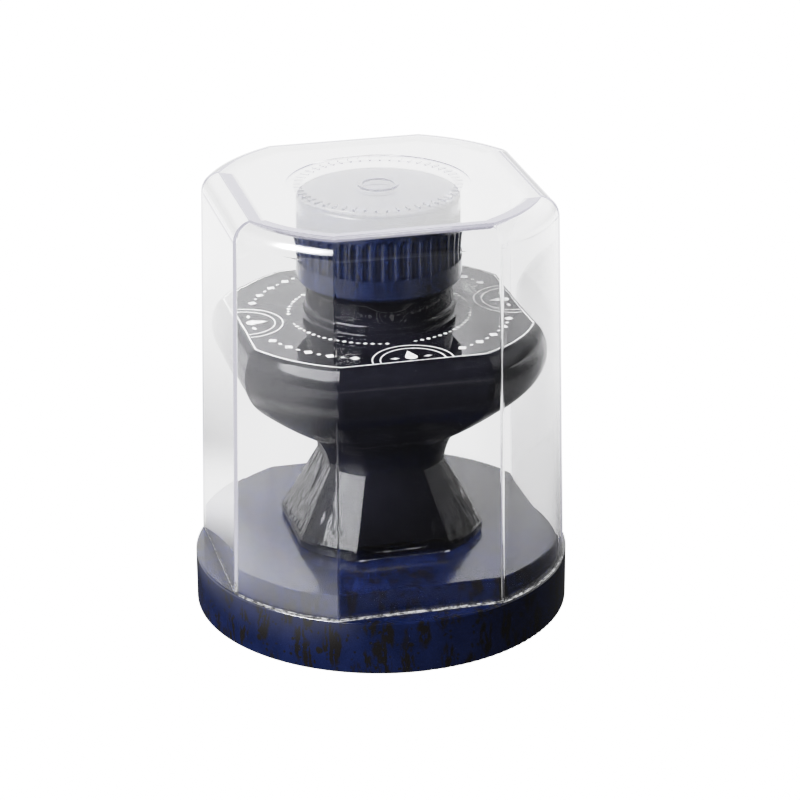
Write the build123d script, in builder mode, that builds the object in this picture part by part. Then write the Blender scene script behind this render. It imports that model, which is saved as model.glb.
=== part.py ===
"""Ink bottle in its display case: base disc, clear lift-off cover, footed glass bottle, screw cap.

Units are millimetres, +Z is up. The origin is at the centre of the underside.
The cover, the raised plateau and the bottle share one kind of plan: a circle cut by four chords,
whose flats face along X and Y. Such a body is a turned body trimmed by two vaults, one along X
and one along Y, so the same outline is drawn twice: at its round width and at its flat width.
"""
import os
from math import acos, cos, radians, sin, sqrt, tan

from build123d import *

os.makedirs("parts", exist_ok=True)

# ---------------------------------------------------------------- driving dimensions
# base
BASE_R = 47.0               # base disc
BASE_EDGE = 0.5             # its rounded edges
LEDGE_Z = 13.8              # top of the disc, where the cover stands
PLATEAU_Z = 20.0            # top of the raised plateau, where the bottle stands
PLATEAU_R = 45.1            # plateau plan: radius of its round sides
PLATEAU_FLAT = 40.3         # and distance of its flats from the axis
PLATEAU_EDGE = 0.25
PAD_R = 42.5                # non-slip pad let into the underside
PAD_T = 1.0
PAD_PROUD = 0.2             # how far the pad stands out below the disc
PAD_GAP = 0.25              # between the pad and the side of its recess

# cover
COVER_R = 46.9              # plan at the open rim
COVER_FLAT = 42.1
COVER_WALL = 1.5
COVER_DRAFT = 1.35          # degrees, narrower at the top
COVER_SHOULDER_Z = 104.4    # where the walls begin to round over
COVER_TOP_Z = 109.6
COVER_IN = 4.3              # how far the rounded shoulder comes in
COVER_TURN = 80.0           # degrees that the rounded shoulder turns before the top's crisp edge
COVER_LENS = 1.0            # how much thicker the top gets, over its outer margin
COVER_MARGIN = 3.8          # width of that margin
COVER_BED = 0.2             # how deep the thicker middle is bedded in the wall above it
COVER_CORNER = 1.0          # rounding where a flat meets a round side
TALL = 3.0                  # corner edges are the only ones that rise more than this
MEDALLION_R = 22.6          # shallow round recess in the top
MEDALLION_DEPTH = 0.3
MOTIF_H = 0.25              # height of the raised ornament on the medallion
TICKS = 48                  # raised ticks round the medallion
TICK_R = 19.6
TICK_LENGTH = 2.2
TICK_WIDTH = 0.5
DROP_R = 5.0                # ink drop in the middle of the medallion
DROP_TIP = 12.0
DROP_LINE = 1.1             # width of the drop's outline

# bottle, widths across its round sides
FLAT_SHARE = 0.89           # distance of the flats from the axis, as a share of the round width
FOOT_R = 26.1
FOOT_RIM = 2.4              # height of the foot's upright rim
FOOT_STEP = 0.5             # small step in, above the rim
WAIST_R = 16.3
WAIST_Z = 39.0              # narrowest point, a crease at the top of the foot's straight flare
WAIST_LEAN = 0.1            # outward lean of the glass just above it
CREASE_R = 20.3             # where the waist meets the underside of the bowl
CREASE_Z = 47.6
BELLY_R = 35.2              # a point on the underside of the bowl
BELLY_Z = 58.0
BELLY_SLOPE = 0.55          # slope of the underside where it leaves the crease
BOWL_R = 41.9
BOWL_Z = 69.6               # widest point
SHOULDER_Z = 76.6           # flat top of the bowl
SHOULDER_IN = 2.7           # the flat top's edge, in from the widest point
EDGE = 0.6                  # small bevel on the glass's edges
GLASS_WALL = 2.4
GLASS_SLANT = 0.7           # inset and lift of the well, as shares of the wall, under the bowl
WELL_Z = 22.9               # floor of the ink well, in the foot
WELL_R = 23.0               # and its radius there
WELL_THROAT_R = 13.9        # and its radius in the waist
INK_Z = 86.3                # ink level, in the neck
PUNT_R = 17.0               # shallow hollow under the foot
PUNT_DEPTH = 0.6
PUNT_TAPER = 30             # degrees

# neck and thread
NECK_R = 18.1               # plain part, below the cap
NECK_TOP_Z = 85.2
NECK_BLEND = 0.8            # fillet from the shoulder into the neck
NECK_SINK = 1.0             # how deep the neck is bedded in the shoulder
COLLAR_R = 18.9             # rounded ring at the foot of the neck
COLLAR_Z = 78.8
COLLAR_H = 2.6
FINISH_R = 16.9             # threaded part, inside the cap
FINISH_Z = 101.4            # sealing rim
MOUTH_R = 13.2
THREAD_LEAD = 4.0           # rise of the cap in one turn
THREAD_TURNS = 1.75
THREAD_Z = 90.0             # where the bottle's thread starts
THREAD_R = 18.1             # crest of the bottle's thread
THREAD_ROOT = 1.9           # width of a thread at its root
THREAD_CREST = 0.8
THREAD_SINK = 0.25          # how deep a thread is bedded in its wall

# cap
CAP_R = 20.35               # plain lower band
CAP_Z = 86.0                # lower end
CAP_CHAMFER = 0.9
CAP_BAND_Z = 91.6           # top of the plain band
CAP_BARREL_R = 20.1         # fluted part
FLUTES = 42
FLUTE_R = 1.35              # round-nosed cutter of the flutes
FLUTE_OUT = 0.6             # cutter's centre, outside the barrel
FLUTE_TOP = 102.2
CAP_TOP_Z = 105.8
CAP_TOP_EDGE = 1.2
CAP_BORE_R = 18.5
CAP_THREAD_R = 17.3         # crest of the cap's thread
LINER_R = 18.2
LINER_T = 1.2
LINER_GAP = 0.02            # above and below the liner
BEAD_R = 17.6               # bead in the bore that keeps the liner in the cap
BEAD_H = 1.0

SPAN = 60.0                 # half length of a trimming vault, longer than any body is wide
NECK_FOOT_Z = SHOULDER_Z - NECK_SINK
LINER_Z = FINISH_Z + LINER_GAP
CAP_CEILING_Z = LINER_Z + LINER_T + LINER_GAP


# ---------------------------------------------------------------- shared forms
def trimmed(outline, round_width, flat_width):
    """Turned body trimmed by two vaults; outline(width) draws a section from axis to axis."""
    with BuildPart() as body:
        with BuildSketch(Plane.XZ):
            with BuildLine() as section:
                outline(round_width)
                Line(section.line @ 1, section.line @ 0)
            make_face()
        revolve(axis=Axis.Z)
        for plane in (Plane.XZ, Plane.YZ):
            with BuildSketch(plane):
                with BuildLine():
                    outline(flat_width)
                    mirror(about=Plane.YZ)
                make_face()
            extrude(amount=SPAN, both=True, mode=Mode.INTERSECT)
    return body.part


def thread(wall_r, crest_r, start_z):
    """One right-hand thread on a round wall, outside or inside it, bedded a little into it."""
    side = 1 if crest_r > wall_r else -1
    bed_r = wall_r - side * THREAD_SINK
    with BuildPart() as ridge:
        with BuildLine(Plane.XY.offset(start_z)) as path:
            Helix(pitch=THREAD_LEAD, height=THREAD_LEAD * THREAD_TURNS, radius=bed_r)
        with BuildSketch(Plane.XZ):
            with BuildLine():
                Polyline(
                    (bed_r, start_z - THREAD_ROOT / 2),
                    (crest_r, start_z - THREAD_CREST / 2),
                    (crest_r, start_z + THREAD_CREST / 2),
                    (bed_r, start_z + THREAD_ROOT / 2),
                    close=True,
                )
            make_face()
        sweep(path=path.line, is_frenet=True)
    return ridge.part


# ---------------------------------------------------------------- base
with BuildPart() as base_disc:
    with BuildSketch(Plane.XY.offset(PAD_PROUD)):
        Circle(BASE_R)
    extrude(amount=LEDGE_Z - PAD_PROUD)
    fillet(base_disc.edges().filter_by(GeomType.CIRCLE), radius=BASE_EDGE)
    with BuildSketch(Plane.XY.offset(LEDGE_Z)):
        Circle(PLATEAU_R)
        Rectangle(2 * PLATEAU_FLAT, 2 * PLATEAU_FLAT, mode=Mode.INTERSECT)
    extrude(amount=PLATEAU_Z - LEDGE_Z, taper=COVER_DRAFT)
    chamfer(base_disc.faces().sort_by(Axis.Z)[-1].edges(), length=PLATEAU_EDGE)
    with BuildSketch(Plane.XY.offset(PAD_PROUD)):
        Circle(PAD_R + PAD_GAP)
    extrude(amount=PAD_T - PAD_PROUD, mode=Mode.SUBTRACT)
base_disc.part.label = "base_disc"

with BuildPart() as base_pad:
    with BuildSketch():
        Circle(PAD_R)
    extrude(amount=PAD_T)
base_pad.part.label = "base_pad"


# ---------------------------------------------------------------- cover
def cover_outline(rim_width, skin=0.0):
    """Half section of the cover, or of the space inside it when a skin thickness is given."""
    def wall(z):
        return rim_width - skin - (z - LEDGE_Z) * tan(radians(COVER_DRAFT))

    turn = radians(90 - COVER_TURN)
    shoulder = (wall(COVER_SHOULDER_Z), COVER_SHOULDER_Z)
    crease = (wall(COVER_SHOULDER_Z) + skin - COVER_IN - skin * sin(turn),
              COVER_TOP_Z - skin * cos(turn))
    Line((0, LEDGE_Z), (wall(LEDGE_Z), LEDGE_Z))
    Line((wall(LEDGE_Z), LEDGE_Z), shoulder)
    TangentArc(shoulder, crease, tangent=(-tan(radians(COVER_DRAFT)), 1))
    Line(crease, (0, crease[1]))


def cover_space_outline(rim_width):
    """Half section of the space inside the cover, up to the thin margin of its top."""
    cover_outline(rim_width, COVER_WALL)


def lens_outline(rim_width):
    """Half section of the thicker middle of the top, a shallow dish under its margin."""
    turn = radians(90 - COVER_TURN)
    margin_z = COVER_TOP_Z - COVER_WALL * cos(turn)
    edge = (rim_width - (COVER_SHOULDER_Z - LEDGE_Z) * tan(radians(COVER_DRAFT))
            - COVER_IN - COVER_WALL * sin(turn))
    inner = (edge - COVER_MARGIN, margin_z - COVER_LENS)
    Line((0, margin_z - COVER_LENS), inner)
    TangentArc(inner, (edge, margin_z), tangent=(1, 0))
    Line((edge, margin_z), (edge, margin_z + COVER_BED))
    Line((edge, margin_z + COVER_BED), (0, margin_z + COVER_BED))


DROP_TANGENT = acos(DROP_R / DROP_TIP)

with BuildPart() as display_cover:
    add(trimmed(cover_outline, COVER_R, COVER_FLAT))
    add(trimmed(cover_space_outline, COVER_R, COVER_FLAT), mode=Mode.SUBTRACT)
    add(trimmed(lens_outline, COVER_R, COVER_FLAT))
    corners = display_cover.edges().filter_by(lambda edge: edge.bounding_box().size.Z > TALL)
    fillet(corners, radius=COVER_CORNER)
    with BuildSketch(Plane.XY.offset(COVER_TOP_Z)):
        Circle(MEDALLION_R)
    extrude(amount=-MEDALLION_DEPTH, mode=Mode.SUBTRACT)
    with BuildSketch(Plane.XY.offset(COVER_TOP_Z - MEDALLION_DEPTH)):
        with PolarLocations(TICK_R, TICKS):
            Rectangle(TICK_LENGTH, TICK_WIDTH)
        Circle(DROP_R)
        with BuildLine():
            Polyline(
                (-DROP_R * sin(DROP_TANGENT), DROP_R * cos(DROP_TANGENT)),
                (0, DROP_TIP),
                (DROP_R * sin(DROP_TANGENT), DROP_R * cos(DROP_TANGENT)),
                close=True,
            )
        make_face()
        Circle(DROP_R - DROP_LINE, mode=Mode.SUBTRACT)
    extrude(amount=MOTIF_H)
display_cover.part.label = "display_cover"


# ---------------------------------------------------------------- bottle
def bottle_outline(share):
    """Half section of the foot, waist and bowl, with every width multiplied by share."""
    def at(r, z):
        return (share * r, z)

    rim_z = PLATEAU_Z + FOOT_RIM
    step = (FOOT_R - FOOT_STEP, rim_z + FOOT_STEP)
    lip_r = BOWL_R - SHOULDER_IN
    Line(at(0, PLATEAU_Z), at(FOOT_R - EDGE, PLATEAU_Z))
    Line(at(FOOT_R - EDGE, PLATEAU_Z), at(FOOT_R, PLATEAU_Z + EDGE))
    Line(at(FOOT_R, PLATEAU_Z + EDGE), at(FOOT_R, rim_z))
    Line(at(FOOT_R, rim_z), at(*step))
    Line(at(*step), at(WAIST_R, WAIST_Z))
    TangentArc(at(WAIST_R, WAIST_Z), at(CREASE_R, CREASE_Z), tangent=at(WAIST_LEAN, 1))
    Spline(at(CREASE_R, CREASE_Z), at(BELLY_R, BELLY_Z), at(BOWL_R, BOWL_Z),
           tangents=[at(1, BELLY_SLOPE), (0, 1)])
    TangentArc(at(BOWL_R, BOWL_Z), at(lip_r + EDGE, SHOULDER_Z - EDGE), tangent=(0, 1))
    Line(at(lip_r + EDGE, SHOULDER_Z - EDGE), at(lip_r, SHOULDER_Z))
    Line(at(lip_r, SHOULDER_Z), at(0, SHOULDER_Z))


def well_outline(share):
    """Half section of the ink well from the foot to the bowl, with every width times share."""
    def at(r, z):
        return (share * r, z)

    inner_r = BOWL_R - GLASS_WALL
    roof_z = SHOULDER_Z - GLASS_WALL
    slant = GLASS_SLANT * GLASS_WALL
    Line(at(0, WELL_Z), at(WELL_R, WELL_Z))
    Line(at(WELL_R, WELL_Z), at(WELL_THROAT_R, WAIST_Z))
    TangentArc(at(WELL_THROAT_R, WAIST_Z), at(CREASE_R - slant, CREASE_Z + slant), tangent=(0, 1))
    Spline(at(CREASE_R - slant, CREASE_Z + slant), at(BELLY_R - slant, BELLY_Z + slant),
           at(inner_r, BOWL_Z), tangents=[at(1, BELLY_SLOPE), (0, 1)])
    Line(at(inner_r, BOWL_Z), at(inner_r - EDGE, roof_z))
    Line(at(inner_r - EDGE, roof_z), at(0, roof_z))


with BuildPart() as ink_space:
    add(trimmed(well_outline, 1.0, FLAT_SHARE))
    with BuildSketch(Plane.XY.offset(SHOULDER_Z - GLASS_WALL)):
        Circle(MOUTH_R)
    extrude(amount=FINISH_Z - SHOULDER_Z + GLASS_WALL)

with BuildPart() as bottle_glass:
    add(trimmed(bottle_outline, 1.0, FLAT_SHARE))
    with BuildSketch(Plane.XZ):
        with BuildLine():
            Line((0, NECK_FOOT_Z), (NECK_R + NECK_BLEND, NECK_FOOT_Z))
            Line((NECK_R + NECK_BLEND, NECK_FOOT_Z), (NECK_R + NECK_BLEND, SHOULDER_Z))
            TangentArc((NECK_R + NECK_BLEND, SHOULDER_Z), (NECK_R, SHOULDER_Z + NECK_BLEND),
                       tangent=(-1, 0))
            Line((NECK_R, SHOULDER_Z + NECK_BLEND), (NECK_R, COLLAR_Z - COLLAR_H / 2))
            ThreePointArc((NECK_R, COLLAR_Z - COLLAR_H / 2), (COLLAR_R, COLLAR_Z),
                          (NECK_R, COLLAR_Z + COLLAR_H / 2))
            Line((NECK_R, COLLAR_Z + COLLAR_H / 2), (NECK_R, NECK_TOP_Z - EDGE))
            Line((NECK_R, NECK_TOP_Z - EDGE), (NECK_R - EDGE, NECK_TOP_Z))
            Line((NECK_R - EDGE, NECK_TOP_Z), (FINISH_R, NECK_TOP_Z))
            Line((FINISH_R, NECK_TOP_Z), (FINISH_R, FINISH_Z - EDGE))
            Line((FINISH_R, FINISH_Z - EDGE), (FINISH_R - EDGE, FINISH_Z))
            Line((FINISH_R - EDGE, FINISH_Z), (0, FINISH_Z))
            Line((0, FINISH_Z), (0, NECK_FOOT_Z))
        make_face()
    revolve(axis=Axis.Z)
    add(thread(FINISH_R, THREAD_R, THREAD_Z))
    add(ink_space.part, mode=Mode.SUBTRACT)
    with BuildSketch(Plane.XY.offset(PLATEAU_Z)):
        Circle(PUNT_R)
    extrude(amount=PUNT_DEPTH, taper=PUNT_TAPER, mode=Mode.SUBTRACT)
bottle_glass.part.label = "bottle_glass"

with BuildPart() as ink:
    add(ink_space.part)
    split(bisect_by=Plane.XY.offset(INK_Z), keep=Keep.BOTTOM)
ink.part.label = "ink"

# ---------------------------------------------------------------- cap
FLUTE_HALF = sqrt(FLUTE_R**2 - FLUTE_OUT**2)    # half width of a flute on the barrel
FLUTE_END = FLUTE_TOP - FLUTE_HALF              # where a flute's arched top begins

with BuildPart() as screw_cap:
    with BuildSketch(Plane.XY.offset(CAP_Z)):
        Circle(CAP_R)
    extrude(amount=CAP_BAND_Z - CAP_Z)
    chamfer(screw_cap.edges().sort_by(Axis.Z)[0], length=CAP_CHAMFER)
    with BuildSketch(Plane.XY.offset(CAP_BAND_Z)):
        Circle(CAP_BARREL_R)
    extrude(amount=CAP_TOP_Z - CAP_BAND_Z)
    fillet(screw_cap.edges().sort_by(Axis.Z)[-1], radius=CAP_TOP_EDGE)
    with PolarLocations(CAP_BARREL_R + FLUTE_OUT, FLUTES):
        with Locations((0, 0, CAP_BAND_Z)):
            Cylinder(FLUTE_R, FLUTE_END - CAP_BAND_Z,
                     align=(Align.CENTER, Align.CENTER, Align.MIN), mode=Mode.SUBTRACT)
        with Locations((0, 0, FLUTE_END)):
            Sphere(FLUTE_R, mode=Mode.SUBTRACT)
    with BuildSketch(Plane.XZ):
        with BuildLine():
            Polyline(
                (0, CAP_Z),
                (CAP_BORE_R, CAP_Z),
                (CAP_BORE_R, LINER_Z - BEAD_H),
                (BEAD_R, LINER_Z - BEAD_H / 2),
                (CAP_BORE_R, LINER_Z),
                (CAP_BORE_R, CAP_CEILING_Z),
                (0, CAP_CEILING_Z),
                close=True,
            )
        make_face()
    revolve(axis=Axis.Z, mode=Mode.SUBTRACT)
    add(thread(CAP_BORE_R, CAP_THREAD_R, THREAD_Z - THREAD_LEAD / 2))
screw_cap.part.label = "screw_cap"

with BuildPart() as cap_liner:
    with BuildSketch(Plane.XY.offset(LINER_Z)):
        Circle(LINER_R)
    extrude(amount=LINER_T)
cap_liner.part.label = "cap_liner"

for piece in (base_disc, base_pad, display_cover, bottle_glass, ink, screw_cap, cap_liner):
    export_step(piece.part, f"parts/{piece.part.label}.step")
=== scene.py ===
"""Looks for an ink bottle in its display case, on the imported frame: metres, +Z up.

The CAD meshes keep their shapes and get procedural materials. The ink is replaced by a slightly
larger copy of itself, and the white ornament printed on the bottle's shoulder is added.
"""
from math import acos, cos, pi, radians, sin

import bmesh
import bpy
from mathutils import Matrix, Vector


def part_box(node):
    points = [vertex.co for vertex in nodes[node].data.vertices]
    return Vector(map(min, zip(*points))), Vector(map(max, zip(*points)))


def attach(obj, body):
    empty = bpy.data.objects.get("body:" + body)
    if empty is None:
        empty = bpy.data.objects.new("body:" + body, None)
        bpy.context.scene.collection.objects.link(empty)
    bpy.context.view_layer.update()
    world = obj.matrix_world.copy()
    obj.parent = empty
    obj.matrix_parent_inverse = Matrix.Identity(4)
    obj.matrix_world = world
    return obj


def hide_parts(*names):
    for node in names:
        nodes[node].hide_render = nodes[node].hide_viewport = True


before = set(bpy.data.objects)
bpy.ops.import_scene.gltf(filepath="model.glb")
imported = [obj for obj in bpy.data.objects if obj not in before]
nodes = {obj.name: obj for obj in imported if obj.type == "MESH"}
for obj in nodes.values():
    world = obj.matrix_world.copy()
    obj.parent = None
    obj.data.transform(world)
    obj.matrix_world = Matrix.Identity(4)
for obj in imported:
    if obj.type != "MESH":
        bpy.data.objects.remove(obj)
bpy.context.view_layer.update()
MM = 0.001

# ---------------------------------------------------------------- driving values
# ink and bottle
INK_SWELL = 0.05 * MM           # so that no air gap shows between the ink and the glass
SHOULDER_Z = 76.6 * MM          # top of the bowl
SHOULDER_R = 39.2 * MM          # and its edge, across the round sides
SHOULDER_FLAT = 34.9 * MM       # and across the flats
FLOW_LOW = 34 * MM              # flow marks in the glass are full below this height
FLOW_HIGH = 44 * MM             # and gone above this one

# ornament printed on the shoulder
PRINT_T = 0.05 * MM             # thickness of the print
LINE = 0.34 * MM                # width of a printed line
BORDER_IN = 0.6 * MM            # border line, in from the edge across the round sides
BORDER_FLAT_IN = 0.55 * MM      # and across the flats
ARCHES = ((9.6 * MM, 9.8 * MM), (7.7 * MM, 7.9 * MM))   # reach in from a flat, and half width
ARCH_IN = 0.9 * MM              # feet of an arch, in from its flat
DROP_IN = 3.1 * MM              # centre of an ink drop, in from its flat
DROP_R = 1.5 * MM
DROP_TIP = 4.0 * MM             # from its centre
PAIR_IN = 2.6 * MM              # pair of lozenges beside a drop, in from its flat
PAIR_TURN = 0.125               # radians from the drop
PAIR_SIZE = (2.2 * MM, 1.1 * MM)        # length round the axis, and height towards it
ROW_R = 32.2 * MM               # row of lozenges on each diagonal, large and small in turn
ROW_COUNT = 9
ROW_STEP = radians(5.2)
ROW_SIZES = ((2.5 * MM, 2.4 * MM), (1.3 * MM, 1.0 * MM))
RING_R = 22.4 * MM              # row round the neck on each diagonal, every third one thin
RING_COUNT = 17
RING_STEP = radians(4.5)
RING_SIZE = (1.15 * MM, 1.3 * MM)
RING_THIN_SIZE = (1.15 * MM, 0.7 * MM)

# cover
RIM_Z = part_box("display_cover")[0][2] + 0.05 * MM
RIM_GLOW = 0.2 * MM             # height of the painted bright line, a glow, on the rim, above RIM_Z

# camera
CAMERA_AZIMUTH = radians(-13.96)
CAMERA_ELEVATION = radians(22.43)
CAMERA_ROLL = radians(-0.32)
CAMERA_PLACE = (-0.16154, -0.67076, 0.33737)
CAMERA_LENS = 134.4

# light and floor
FLOOR_HALF = 4.0                # half the floor's width
LAMP_AIM = (0, 0, 60 * MM)      # where the lamp points
WHITE = 2.8                     # light that shows as pure white
TOWARDS = Vector((-sin(CAMERA_AZIMUTH), cos(CAMERA_AZIMUTH), 0.0))  # level, to the backdrop
LEFT = Vector((-0.94, 0.20, 0.27)).normalized()                     # to the pale wall on the left
RIGHT = Vector((0.93, -0.13, 0.34)).normalized()                    # to a dim one on the right
FLOOR_LEFT = (-0.94, 0.34, 0)                                       # level, to the bright floor
# tone curve below WHITE: how bright each light shows
TONES = ((0.25, 0.25), (0.5, 0.49), (0.8, 0.66), (1.1, 0.77), (1.5, 0.84), (2.0, 0.90))


# ---------------------------------------------------------------- helpers
class Graph:
    """A node tree, with short ways to add the nodes that the looks use."""

    def __init__(self, tree):
        tree.nodes.clear()
        self.nodes = tree.nodes
        self.links = tree.links

    def feed(self, socket, value):
        """Sets a socket's own value, or links an output to it."""
        if isinstance(value, bpy.types.NodeSocket):
            self.links.new(value, socket)
        else:
            socket.default_value = value

    def add(self, kind, **values):
        """A node with its properties (plain names) and its inputs (in_NAME)."""
        made = self.nodes.new(kind)
        for key, value in values.items():
            if not key.startswith("in_"):
                setattr(made, key, value)
        for key, value in values.items():
            if key.startswith("in_"):
                self.feed(made.inputs[key[3:].replace("_", " ")], value)
        return made

    def maths(self, operation, first, second):
        """One sum on two values."""
        made = self.add("ShaderNodeMath", operation=operation)
        self.feed(made.inputs[0], first)
        self.feed(made.inputs[1], second)
        return made.outputs["Value"]

    def chain(self, operation, first, *others):
        """One kind of sum carried on over several values, from left to right."""
        for other in others:
            first = self.maths(operation, first, other)
        return first

    def remap(self, value, start, end, low, high, interpolation="LINEAR"):
        """A value between start and end, turned into one between low and high."""
        made = self.add("ShaderNodeMapRange", interpolation_type=interpolation, in_Value=value,
                        in_From_Min=start, in_From_Max=end, in_To_Min=low, in_To_Max=high)
        return made.outputs["Result"]

    def inside(self, value, inner, outer):
        """1 where a value is below inner, falling to 0 at outer."""
        return self.remap(value, inner, outer, 1.0, 0.0, "SMOOTHSTEP")

    def along(self, source, way, start, end, low, high):
        """A smooth ramp along a direction, from low at start to high at end."""
        made = self.add("ShaderNodeVectorMath", operation="DOT_PRODUCT")
        self.feed(made.inputs[0], source)
        self.feed(made.inputs[1], way)
        return self.remap(made.outputs["Value"], start, end, low, high, "SMOOTHSTEP")

    def noise(self, vector, scale, detail, roughness=0.5):
        """The outputs of a noise texture."""
        made = self.add("ShaderNodeTexNoise", in_Vector=vector, in_Scale=scale, in_Detail=detail,
                        in_Roughness=roughness)
        return made.outputs

    def cells(self, vector, scale):
        """The outputs of a cell texture."""
        return self.add("ShaderNodeTexVoronoi", in_Vector=vector, in_Scale=scale).outputs

    def squeezed(self, vector, share):
        """Coordinates whose Z is scaled by a share, so that a texture is drawn out upright."""
        made = self.add("ShaderNodeMapping", in_Vector=vector, in_Scale=(1.0, 1.0, share))
        return made.outputs["Vector"]

    def shades(self, value, start, first, end, last):
        """A colour that goes from first at start to last at end."""
        made = self.add("ShaderNodeValToRGB", in_Fac=value)
        for stop, position, colour in zip(made.color_ramp.elements, (start, end), (first, last)):
            stop.position = position
            stop.color = (*colour, 1)
        return made.outputs["Color"]

    def glow(self, strength, colour=(1, 1, 1)):
        """A shader that gives off light."""
        made = self.add("ShaderNodeEmission", in_Strength=strength, in_Color=(*colour, 1))
        return made.outputs["Emission"]

    def mixed(self, factor, first, second):
        """The first shader where the factor is 0 and the second where it is 1."""
        made = self.add("ShaderNodeMixShader", in_Fac=factor)
        self.feed(made.inputs[1], first)
        self.feed(made.inputs[2], second)
        return made.outputs["Shader"]


def material(name):
    """A new material, its empty graph, its surface socket and its object coordinates."""
    mat = bpy.data.materials.new(name)
    mat.use_nodes = True
    graph = Graph(mat.node_tree)
    surface = graph.add("ShaderNodeOutputMaterial").inputs["Surface"]
    place = graph.add("ShaderNodeTexCoord").outputs["Object"]
    return mat, graph, surface, place


def new_object(name, bm, look):
    """A mesh object in the scene, with one material."""
    mesh = bpy.data.meshes.new(name)
    bm.to_mesh(mesh)
    bm.free()
    mesh.materials.append(look)
    obj = bpy.data.objects.new(name, mesh)
    bpy.context.scene.collection.objects.link(obj)
    return obj


# ---------------------------------------------------------------- materials
def clear_material(name, ior, tint, smudge_scale, flow=0.0, painted_glow=None, rim_z=None):
    """Clear plastic or glass with faint polishing marks; lamps shine through it.

    flow is the height in metres of upright flow marks, as on pressed glass.
    The colour given for the glow is painted: an even glow on light mirrored three times or more,
    standing in for light that has run on inside the wall and reaches the edges.
    rim_z is the height of the rim where a thin painted bright line, a speckled glow, stands in for that
    light coming out.
    """
    mat, graph, surface, place = material(name)
    path = graph.add("ShaderNodeLightPath").outputs
    height = graph.add("ShaderNodeSeparateXYZ", in_Vector=place).outputs["Z"]
    marks = graph.noise(place, scale=smudge_scale, detail=4.0, roughness=0.6)["Fac"]
    smudges = graph.remap(marks, start=0.45, end=0.75, low=0.0, high=0.03)
    clear = graph.add("ShaderNodeBsdfPrincipled", in_IOR=ior, in_Transmission_Weight=1.0,
                      in_Base_Color=(*tint, 1), in_Roughness=smudges)
    if flow:
        streaks = graph.noise(graph.squeezed(place, share=0.12), scale=330.0, detail=1.0)["Fac"]
        low = graph.inside(height, FLOW_LOW, FLOW_HIGH)
        bump = graph.add("ShaderNodeBump", in_Strength=1.0, in_Distance=flow,
                         in_Height=graph.maths("MULTIPLY", streaks, low))
        graph.feed(clear.inputs["Normal"], bump.outputs["Normal"])
    shade = [0.93 * part for part in tint]
    through = graph.add("ShaderNodeBsdfTransparent", in_Color=(*shade, 1))
    look = graph.mixed(path["Is Shadow Ray"], clear.outputs["BSDF"], through.outputs["BSDF"])
    if painted_glow:
        # painted glow on light mirrored three times or more, standing in for light run on inside the
        # wall
        deep = graph.maths("GREATER_THAN", path["Glossy Depth"], 2.5)
        look = graph.mixed(deep, look, graph.glow(1.0, painted_glow))
        mat.cycles.emission_sampling = "NONE"
    if rim_z:
        # painted highlight: a speckled glow in a thin band on the rim, standing in for light coming out
        # there
        speckle = graph.noise(place, scale=900.0, detail=2.0)["Fac"]
        painted_rim_glow = graph.glow(graph.remap(speckle, start=0.40, end=0.62, low=0.1, high=0.9))
        look = graph.mixed(graph.inside(height, rim_z, rim_z + RIM_GLOW), look, painted_rim_glow)
    graph.feed(surface, look)
    return mat


def marbled_material(name, ior, strokes, dark_blue, light_blue):
    """Polished dark blue plastic with near-black scratchy strokes, dots and specks.

    The strokes run along Z in clusters; strokes is how dark they are, from 0 to 1.
    The plastic between them clouds from dark_blue to light_blue.
    """
    mat, graph, surface, place = material(name)
    wobble = graph.noise(place, scale=260.0, detail=3.0)["Color"]
    shift = graph.add("ShaderNodeVectorMath", operation="SCALE", in_Vector=wobble, in_Scale=2.2 * MM)
    moved = graph.add("ShaderNodeVectorMath", operation="ADD")
    graph.feed(moved.inputs[0], place)
    graph.feed(moved.inputs[1], shift.outputs["Vector"])
    bent = moved.outputs["Vector"]

    clusters = graph.cells(graph.squeezed(bent, share=0.32), scale=250.0)
    hairs = graph.noise(graph.squeezed(bent, share=0.13), scale=1300.0, detail=2.0)["Fac"]
    mask = graph.chain("MULTIPLY", graph.inside(clusters["Distance"], inner=0.36, outer=0.54),
                       graph.inside(hairs, inner=0.49, outer=0.56), strokes)
    for scale, inner, outer in ((240.0, 0.156, 0.221), (620.0, 0.18, 0.255)):
        dots = graph.cells(graph.squeezed(bent, share=0.8), scale)
        chance = graph.add("ShaderNodeSeparateColor", in_Color=dots["Color"]).outputs["Red"]
        dot = graph.maths("MULTIPLY", graph.inside(dots["Distance"], inner, outer),
                          graph.inside(chance, inner=0.58, outer=0.62))
        mask = graph.maths("MAXIMUM", mask, dot)

    cloud = graph.noise(bent, scale=130.0, detail=4.0, roughness=0.6)["Fac"]
    blue = graph.shades(cloud, start=0.35, first=dark_blue, end=0.7, last=light_blue)
    colour = graph.add("ShaderNodeMix", data_type="RGBA", in_Factor=mask, in_A=blue,
                       in_B=(0.004, 0.0035, 0.0035, 1))
    plastic = graph.add("ShaderNodeBsdfPrincipled", in_IOR=ior,
                        in_Base_Color=colour.outputs["Result"],
                        in_Roughness=graph.remap(cloud, start=0.0, end=1.0, low=0.10, high=0.20))
    graph.feed(surface, plastic.outputs["BSDF"])
    return mat


def ink_material(name):
    """Blue-black ink behind glass: almost no reflection of its own."""
    mat, graph, surface, place = material(name)
    cloud = graph.noise(place, scale=60.0, detail=2.0)["Fac"]
    black = graph.shades(cloud, start=0.0, first=(0.003, 0.003, 0.005),
                         end=1.0, last=(0.006, 0.006, 0.010))
    ink = graph.add("ShaderNodeBsdfPrincipled", in_IOR=1.33, in_Roughness=0.05,
                    in_Specular_IOR_Level=0.07, in_Base_Color=black)
    graph.feed(surface, ink.outputs["BSDF"])
    return mat


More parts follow.
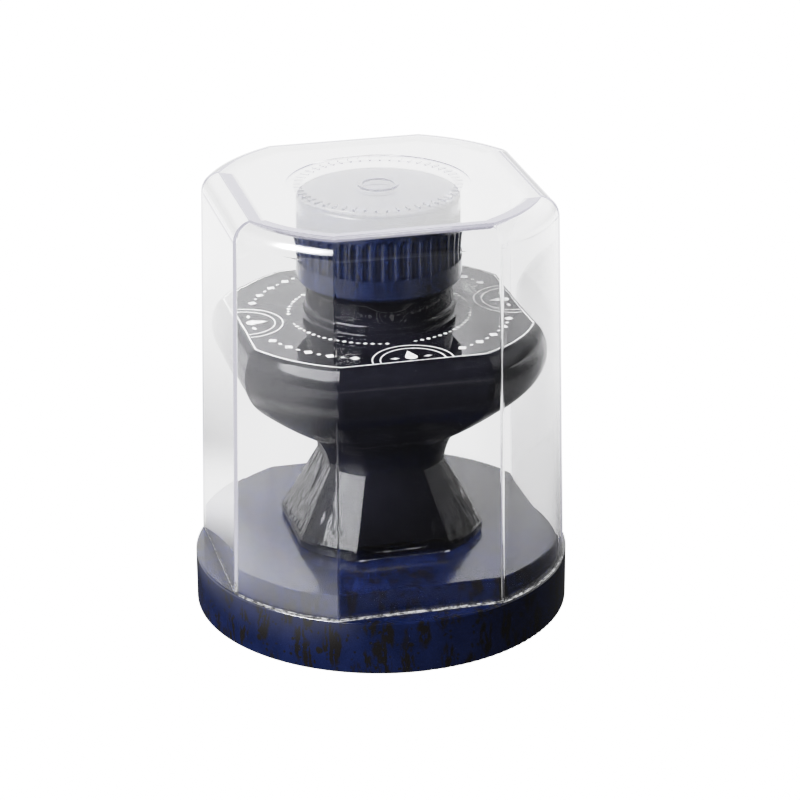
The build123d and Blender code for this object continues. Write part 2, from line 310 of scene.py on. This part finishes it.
def matt_material(name, colour, dark, scale, roughness):
    """A matt surface with a fine grain whose hollows are darker, by the share dark."""
    mat, graph, surface, place = material(name)
    grain = graph.noise(place, scale, detail=5.0)["Fac"]
    hollow = [dark * part for part in colour]
    bump = graph.add("ShaderNodeBump", in_Strength=0.3, in_Distance=0.2 * MM, in_Height=grain)
    matt = graph.add("ShaderNodeBsdfPrincipled", in_Roughness=roughness,
                     in_Base_Color=graph.shades(grain, start=0.3, first=hollow, end=0.7, last=colour),
                     in_Normal=bump.outputs["Normal"])
    graph.feed(surface, matt.outputs["BSDF"])
    return mat


def print_material(name):
    """White print on glass, a little worn."""
    mat, graph, surface, place = material(name)
    wear = graph.noise(place, scale=1400.0, detail=4.0)["Fac"]
    worn = graph.shades(wear, start=0.35, first=(0.38, 0.38, 0.38), end=0.6, last=(0.72, 0.72, 0.71))
    white = graph.add("ShaderNodeBsdfPrincipled", in_Roughness=0.35, in_Base_Color=worn)
    graph.feed(surface, white.outputs["BSDF"])
    return mat


looks = {
    "base_disc": marbled_material("marbled_base", ior=1.6, strokes=1.0,
                                  dark_blue=(0.0017, 0.0038, 0.018),
                                  light_blue=(0.0032, 0.0066, 0.031)),
    "base_pad": matt_material("pad_rubber", colour=(0.03, 0.03, 0.033), dark=0.5, scale=900.0,
                              roughness=0.85),
    # the cover gets a painted lavender glow on deeply mirrored light, and a painted bright line along
    # its rim
    "display_cover": clear_material("clear_plastic", ior=1.49, tint=(0.945, 0.945, 0.95),
                                    smudge_scale=90.0, painted_glow=(0.63, 0.62, 0.73), rim_z=RIM_Z),
    "bottle_glass": clear_material("bottle_glass", ior=1.5, tint=(0.99, 0.995, 1.0),
                                   smudge_scale=120.0, flow=0.4 * MM),
    "screw_cap": marbled_material("marbled_cap", ior=1.5, strokes=0.3,
                                  dark_blue=(0.0022, 0.0042, 0.015),
                                  light_blue=(0.0042, 0.0075, 0.027)),
    "cap_liner": matt_material("liner_foam", colour=(0.8, 0.8, 0.77), dark=0.85, scale=1500.0,
                               roughness=0.8),
}
for name, look in looks.items():
    slots = nodes[name].material_slots
    if slots:
        for slot in slots:
            slot.material = look
    else:
        nodes[name].data.materials.append(look)

# ---------------------------------------------------------------- ink
bm = bmesh.new()
bm.from_mesh(nodes["ink"].data)
bmesh.ops.remove_doubles(bm, verts=bm.verts, dist=0.002 * MM)
bm.normal_update()
for vert in bm.verts:
    vert.co += vert.normal * INK_SWELL
for face in bm.faces:
    face.smooth = True
filling = new_object("ink_filling", bm, ink_material("ink"))
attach(filling, "bottle")
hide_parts("ink")


# ---------------------------------------------------------------- ornament on the shoulder
def plate(bm, outline):
    """A thin closed plate on the shoulder, over a flat outline that turns anticlockwise."""
    low = [bm.verts.new((x, y, SHOULDER_Z)) for x, y in outline]
    high = [bm.verts.new((x, y, SHOULDER_Z + PRINT_T)) for x, y in outline]
    bm.faces.new(reversed(low))
    bm.faces.new(high)
    for i in range(len(outline)):
        j = (i + 1) % len(outline)
        bm.faces.new((low[i], low[j], high[j], high[i]))


def line(bm, points, closed=False):
    """A thin closed band, one line wide, along flat points."""
    count = len(points)
    left, right = [], []
    for i, (x, y) in enumerate(points):
        before = points[i - 1] if closed or i else points[0]
        after = points[(i + 1) % count] if closed or i < count - 1 else points[-1]
        way = Vector((after[0] - before[0], after[1] - before[1])).normalized()
        left.append((x - way.y * LINE / 2, y + way.x * LINE / 2))
        right.append((x + way.y * LINE / 2, y - way.x * LINE / 2))
    rows = [[bm.verts.new((x, y, z)) for x, y in side]
            for side in (left, right) for z in (SHOULDER_Z, SHOULDER_Z + PRINT_T)]
    left_low, left_high, right_low, right_high = rows
    for i in range(count if closed else count - 1):
        j = (i + 1) % count
        bm.faces.new((left_high[i], right_high[i], right_high[j], left_high[j]))
        bm.faces.new((left_low[j], right_low[j], right_low[i], left_low[i]))
        bm.faces.new((right_low[i], right_low[j], right_high[j], right_high[i]))
        bm.faces.new((left_high[i], left_high[j], left_low[j], left_low[i]))
    if not closed:
        bm.faces.new((left_low[0], right_low[0], right_high[0], left_high[0]))
        bm.faces.new((left_high[-1], right_high[-1], right_low[-1], left_low[-1]))


def turned(points, angle):
    """Flat points turned about the axis."""
    c, s = cos(angle), sin(angle)
    return [(c * x - s * y, s * x + c * y) for x, y in points]


def border(round_r, flat_r, steps=24):
    """A circle cut by four chords, as flat points: four arcs joined by straight lines."""
    corner = acos(flat_r / round_r)
    sweep = pi / 2 - 2 * corner
    points = []
    for quarter in range(4):
        start = quarter * pi / 2 + corner
        angles = [start + sweep * i / steps for i in range(steps + 1)]
        points += [(round_r * cos(angle), round_r * sin(angle)) for angle in angles]
    return points


def arch(reach, half_width, steps=24):
    """Half an ellipse that stands on the flat across +X and reaches in towards the axis."""
    angles = [pi * i / steps for i in range(steps + 1)]
    return [(SHOULDER_FLAT - ARCH_IN - reach * sin(angle), half_width * cos(angle)) for angle in angles]


def drop(steps=20):
    """An ink drop that points at the axis, its round end out towards the flat across +X."""
    centre = SHOULDER_FLAT - DROP_IN
    touch = acos(DROP_R / DROP_TIP)
    angles = [pi + touch + 2 * (pi - touch) * i / steps for i in range(steps + 1)]
    round_end = [(centre + DROP_R * cos(angle), DROP_R * sin(angle)) for angle in angles]
    return [(centre - DROP_TIP, 0.0)] + round_end


def lozenge(radius, angle, length, height):
    """A four-pointed lozenge with its length round the axis."""
    inner, outer = radius - height / 2, radius + height / 2
    return turned([(inner, 0), (radius, -length / 2), (outer, 0), (radius, length / 2)], angle)


bm = bmesh.new()
line(bm, border(SHOULDER_R - BORDER_IN, SHOULDER_FLAT - BORDER_FLAT_IN), closed=True)
for quarter in range(4):
    flat_way = quarter * pi / 2
    diagonal = flat_way + pi / 4
    for reach, half_width in ARCHES:
        line(bm, turned(arch(reach, half_width), flat_way))
    plate(bm, turned(drop(), flat_way))
    for side in (-PAIR_TURN, PAIR_TURN):
        plate(bm, lozenge(SHOULDER_FLAT - PAIR_IN, flat_way + side, *PAIR_SIZE))
    for i in range(ROW_COUNT):
        angle = diagonal + (i - ROW_COUNT // 2) * ROW_STEP
        plate(bm, lozenge(ROW_R, angle, *ROW_SIZES[i % 2]))
    for i in range(RING_COUNT):
        angle = diagonal + (i - RING_COUNT // 2) * RING_STEP
        plate(bm, lozenge(RING_R, angle, *(RING_SIZE if i % 3 else RING_THIN_SIZE)))
shoulder_print = new_object("shoulder_print", bm, print_material("white_print"))
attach(shoulder_print, "bottle")


# ---------------------------------------------------------------- floor
def floor_material():
    """Pure white where it is seen directly; in mirror images it is dark but for a few areas.

    Those are behind the object, to its left, to its right, and close by on its left.
    """
    mat, graph, surface, _ = material("floor")
    mat.cycles.emission_sampling = "NONE"
    path = graph.add("ShaderNodeLightPath").outputs
    place = graph.add("ShaderNodeNewGeometry").outputs["Position"]
    away = graph.add("ShaderNodeVectorMath", operation="LENGTH", in_Vector=place).outputs["Value"]

    pale = graph.add("ShaderNodeBsdfDiffuse", in_Color=(0.10, 0.10, 0.10, 1))
    light = graph.glow(graph.remap(path["Is Diffuse Ray"], start=0.0, end=1.0, low=1.5, high=0.35))
    both = graph.add("ShaderNodeAddShader")
    graph.feed(both.inputs[0], pale.outputs["BSDF"])
    graph.feed(both.inputs[1], light)

    behind = graph.maths("MULTIPLY",
                         graph.along(place, TOWARDS, start=0.02, end=0.25, low=0.02, high=2.0),
                         graph.along(place, TOWARDS, start=0.35, end=0.7, low=1.0, high=0.5))
    left_side = graph.maths("MULTIPLY",
                            graph.along(place, FLOOR_LEFT, start=0.05, end=0.17, low=0.02, high=1.4),
                            graph.along(place, TOWARDS, start=0.0, end=0.13, low=1.0, high=0.15))
    right_side = graph.maths("MULTIPLY",
                             graph.along(place, (1, 0, 0), start=0.07, end=0.12, low=0.0, high=0.4),
                             graph.along(place, (1, 0, 0), start=0.15, end=0.22, low=1.0, high=0.25))
    ring = graph.maths("SUBTRACT", graph.inside(away, inner=0.09, outer=0.13),
                       graph.inside(away, inner=0.052, outer=0.088))
    near_left = graph.maths("MULTIPLY",
                            graph.along(place, (-1, 0, 0), start=0.02, end=0.05, low=0.0, high=1.6),
                            ring)
    spread = graph.chain("ADD", behind, left_side, right_side, near_left)

    # light mirrored at least once
    mirrored = graph.maths("GREATER_THAN", path["Glossy Depth"], 0.5)
    look = graph.mixed(mirrored, both.outputs["Shader"], graph.glow(spread))
    graph.feed(surface, graph.mixed(path["Is Camera Ray"], look, graph.glow(WHITE)))
    return mat


bm = bmesh.new()
bmesh.ops.create_grid(bm, x_segments=1, y_segments=1, size=FLOOR_HALF)
new_object("floor", bm, floor_material())

# ---------------------------------------------------------------- light
world = bpy.data.worlds.new("studio")
bpy.context.scene.world = world
world.use_nodes = True
graph = Graph(world.node_tree)
way = graph.add("ShaderNodeTexCoord").outputs["Generated"]
path = graph.add("ShaderNodeLightPath").outputs
backdrop = graph.along(way, TOWARDS, start=0.20, end=0.88, low=0.05, high=3.0)
overhead = graph.along(way, (0, 0, 1), start=0.42, end=0.75, low=1.0, high=0.15)
horizon = graph.along(way, (0, 0, 1), start=0.0, end=0.28, low=0.35, high=1.0)
left_wall = graph.along(way, LEFT, start=0.80, end=0.96, low=0.0, high=2.3)
right_wall = graph.along(way, RIGHT, start=0.93, end=0.99, low=0.0, high=0.8)
total = graph.chain("ADD", graph.chain("MULTIPLY", backdrop, overhead, horizon), left_wall, right_wall)
dimmer = graph.remap(path["Is Diffuse Ray"], start=0.0, end=1.0, low=1.0, high=0.3)
back = graph.add("ShaderNodeBackground", in_Strength=graph.maths("MULTIPLY", total, dimmer))
graph.feed(graph.add("ShaderNodeOutputWorld").inputs["Surface"], back.outputs["Background"])


def softbox(name, azimuth, elevation, distance, width, height, radiance):
    """A lamp with soft edges that faces the object; azimuth is the side it stands on, from +X."""
    data = bpy.data.lights.new(name, "AREA")
    data.shape = "RECTANGLE"
    data.size = width
    data.size_y = height
    data.energy = radiance * pi * width * height
    data.use_nodes = True
    graph = Graph(data.node_tree)
    spot = graph.add("ShaderNodeNewGeometry").outputs["Parametric"]
    across = graph.add("ShaderNodeSeparateXYZ", in_Vector=spot).outputs
    fades = []
    for axis in ("X", "Y"):
        off_centre = graph.maths("ABSOLUTE", graph.maths("SUBTRACT", across[axis], 0.5), 0.0)
        fades.append(graph.inside(off_centre, inner=0.1, outer=0.5))
    peaked = graph.maths("POWER", graph.maths("MULTIPLY", *fades), 2.5)
    graph.feed(graph.add("ShaderNodeOutputLight").inputs["Surface"], graph.glow(peaked))
    lamp = bpy.data.objects.new(name, data)
    a, e = radians(azimuth), radians(elevation)
    way = Vector((cos(a) * cos(e), sin(a) * cos(e), sin(e)))
    lamp.location = Vector(LAMP_AIM) + way * distance
    lamp.rotation_euler = (-way).to_track_quat("-Z", "Y").to_euler()
    bpy.context.scene.collection.objects.link(lamp)


softbox("softbox_left", azimuth=-154.0, elevation=36.0, distance=1.0, width=1.1, height=0.8,
        radiance=72.0)

# ---------------------------------------------------------------- camera
camera_data = bpy.data.cameras.new("camera")
camera_data.lens = CAMERA_LENS
camera_data.sensor_width = 36.0
camera_data.clip_start = 0.01
camera = bpy.data.objects.new("camera", camera_data)
bpy.context.scene.collection.objects.link(camera)
from_object = Vector((sin(CAMERA_AZIMUTH) * cos(CAMERA_ELEVATION),
                      -cos(CAMERA_AZIMUTH) * cos(CAMERA_ELEVATION),
                      sin(CAMERA_ELEVATION)))
right = Vector((cos(CAMERA_AZIMUTH), sin(CAMERA_AZIMUTH), 0.0))
up = from_object.cross(right)
image_right = cos(CAMERA_ROLL) * right + sin(CAMERA_ROLL) * up
image_up = -sin(CAMERA_ROLL) * right + cos(CAMERA_ROLL) * up
camera.location = CAMERA_PLACE
camera.rotation_euler = Matrix((image_right, image_up, from_object)).transposed().to_euler()
bpy.context.scene.camera = camera

# a tone curve with a soft shoulder, so that highlights keep their shape up to WHITE
view = bpy.context.scene.view_settings
view.view_transform = "Standard"
view.use_curve_mapping = True
curves = view.curve_mapping
curves.clip_max_x = WHITE
tone = curves.curves[3]
tone.points[1].location = (WHITE, 1.0)
for light, shown in TONES:
    tone.points.new(light, shown)
curves.update()
